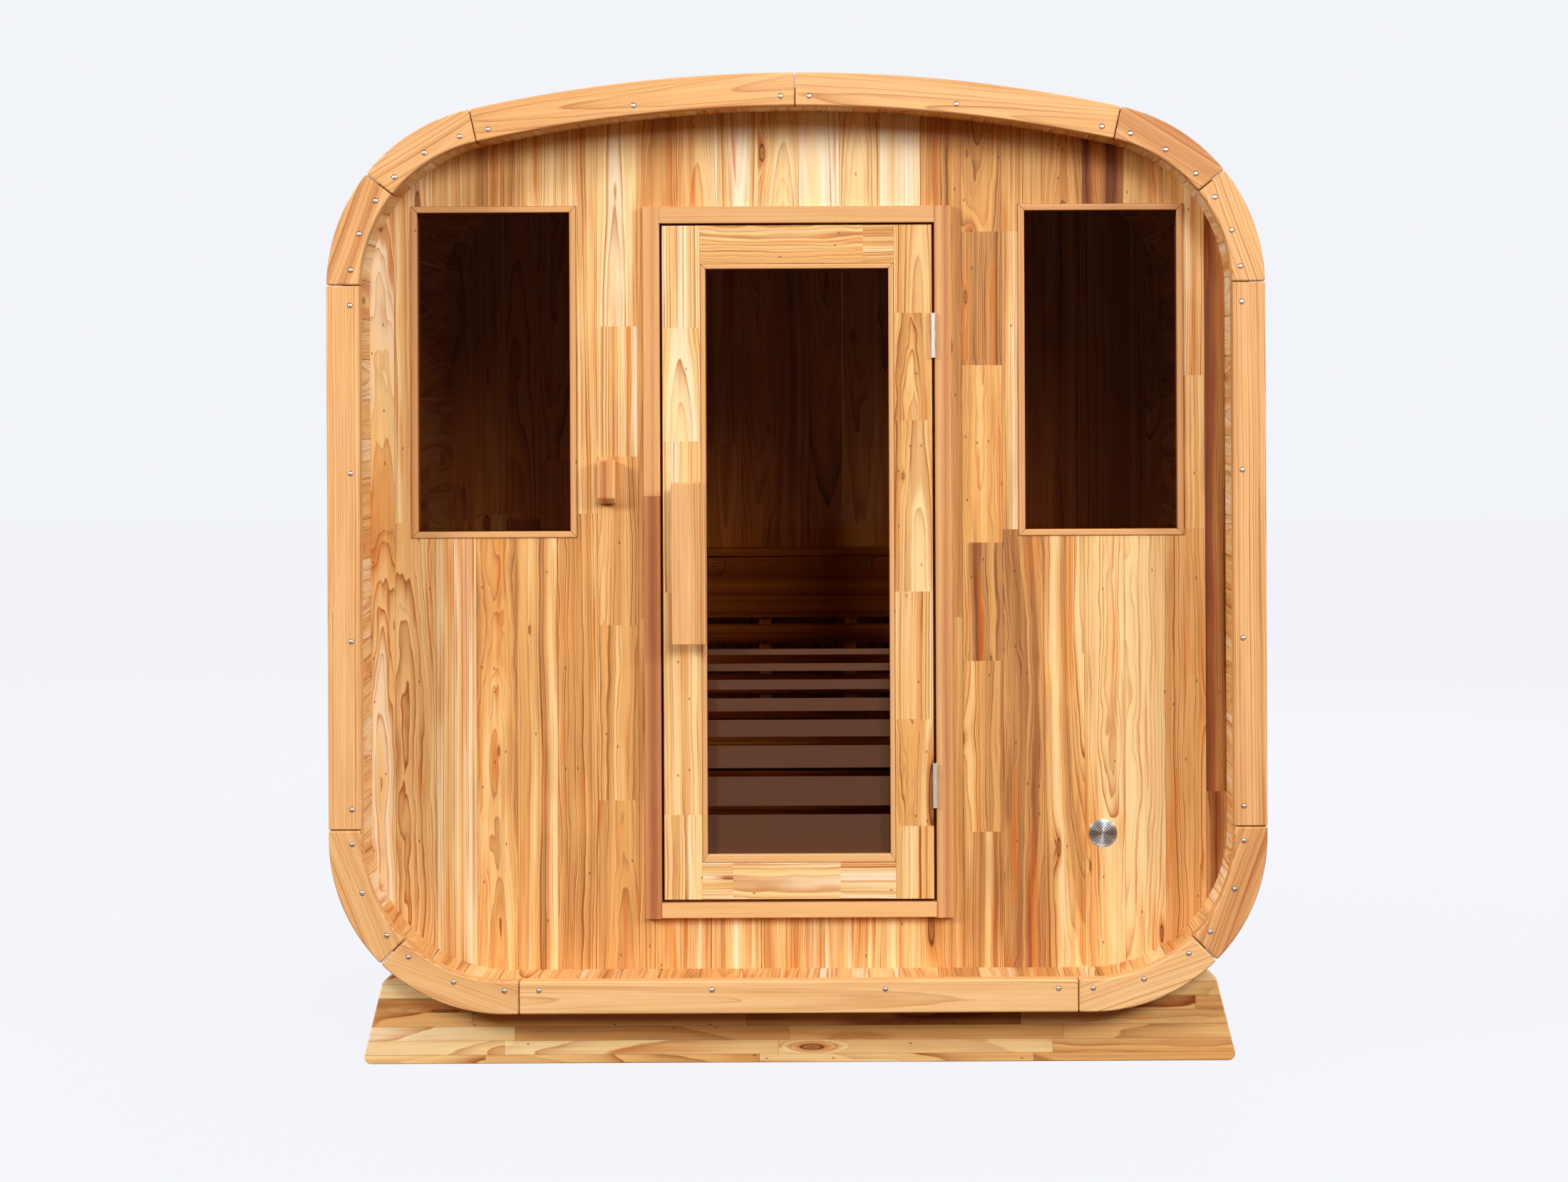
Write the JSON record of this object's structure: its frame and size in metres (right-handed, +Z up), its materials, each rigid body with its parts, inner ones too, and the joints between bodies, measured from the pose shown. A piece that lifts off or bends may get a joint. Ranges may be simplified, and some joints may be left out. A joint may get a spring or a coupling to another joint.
{
  "type": "cabin sauna",
  "caption": "Rounded timber cabin sauna on cradles, with a recessed front wall, a glazed hinged door, two tinted windows and a bench inside.",
  "frame": {"origin": "on the ground, under the middle of the cabin", "axes": "+Z up, front with the door towards -Y, +X to the right when facing the front"},
  "size_m": [2.1, 1.8, 2.23],
  "materials": {
    "stave_wood": "oiled",
    "rim_wood": "oiled",
    "wall_wood": "planed",
    "frame_wood": "planed",
    "door_wood": "planed",
    "bench_wood": "planed",
    "cradle_wood": "planed",
    "tinted_glass": "clear tinted",
    "stainless_steel": "brushed"
  },
  "bodies": {
    "cabin": {"floor_staves": "stave_wood", "side_staves_left": "stave_wood", "side_staves_right": "stave_wood", "roof_staves": "stave_wood", "corner_staves_upper_left": "stave_wood", "corner_staves_upper_right": "stave_wood", "corner_staves_lower_left": "stave_wood", "corner_staves_lower_right": "stave_wood", "front_rim_top": "rim_wood", "front_rim_sides": "rim_wood", "front_rim_bottom": "rim_wood", "front_rim_corners_left": "rim_wood", "front_rim_corners_right": "rim_wood", "back_rim_top": "rim_wood", "back_rim_sides": "rim_wood", "back_rim_bottom": "rim_wood", "back_rim_corners_left": "rim_wood", "back_rim_corners_right": "rim_wood", "front_wall_left": "wall_wood", "front_wall_right": "wall_wood", "front_wall_over_door": "wall_wood", "front_wall_under_door": "wall_wood", "back_wall": "wall_wood", "door_jamb_left": "frame_wood", "door_jamb_right": "frame_wood", "door_head": "frame_wood", "door_sill": "frame_wood", "window_frame_left": "door_wood", "window_frame_right": "door_wood", "window_glass_left": "tinted_glass", "window_glass_right": "tinted_glass", "vent_grille": "stainless_steel", "robe_peg": "rim_wood", "front_cradle": "cradle_wood", "back_cradle": "cradle_wood", "bench_top": "bench_wood", "bench_front": "bench_wood", "bench_posts": "bench_wood", "bench_bearers": "bench_wood", "backrest_slats": "bench_wood", "backrest_rails": "bench_wood", "backrest_battens": "bench_wood", "frame_hinge_leaves": "stainless_steel"},
    "door": {"door_hinge_leaves": "stainless_steel", "door_stile_left": "door_wood", "door_stile_right": "door_wood", "door_rails": "door_wood", "door_bead": "door_wood", "door_glass": "tinted_glass", "door_handle": "rim_wood"}
  },
  "joints": [
    {"name": "door_hinge", "type": "hinge", "parent": "cabin", "child": "door", "pos_m": [0.31025, -0.773, 1.128], "axis": [0, 0, 1], "range_deg": [0, 110]}
  ]
}
